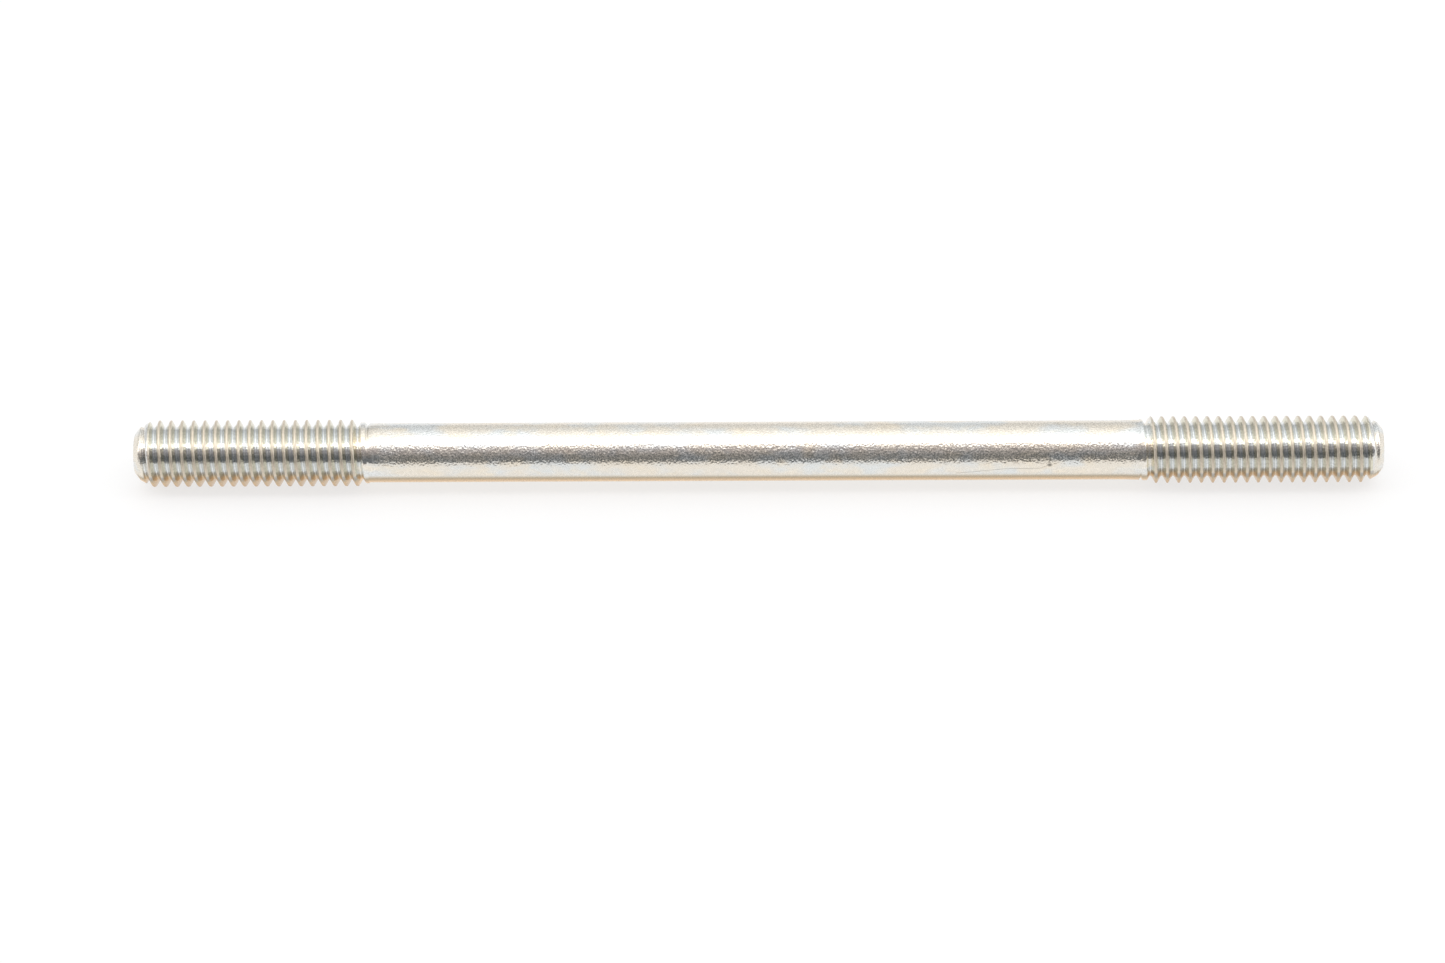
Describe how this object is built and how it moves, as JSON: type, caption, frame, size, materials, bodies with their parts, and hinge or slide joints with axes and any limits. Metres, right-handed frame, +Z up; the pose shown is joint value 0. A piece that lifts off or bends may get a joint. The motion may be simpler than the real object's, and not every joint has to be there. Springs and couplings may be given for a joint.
{
  "type": "stud bolt",
  "caption": "Slender steel stud bolt with a plain round shank, right-hand rolled threads at both ends and chamfered tips.",
  "frame": {"origin": "on the stud's axis, half-way between the two tips", "axes": "+X along the axis towards the end with the slightly longer thread, +Z up when the stud lies on a table"},
  "size_m": [0.11, 0.0058, 0.0058],
  "materials": {
    "zinc_steel": "bright zinc plating with a faint yellow and blue tint and a fine grain"
  },
  "bodies": {
    "root": {"stud": "zinc_steel"}
  },
  "joints": []
}
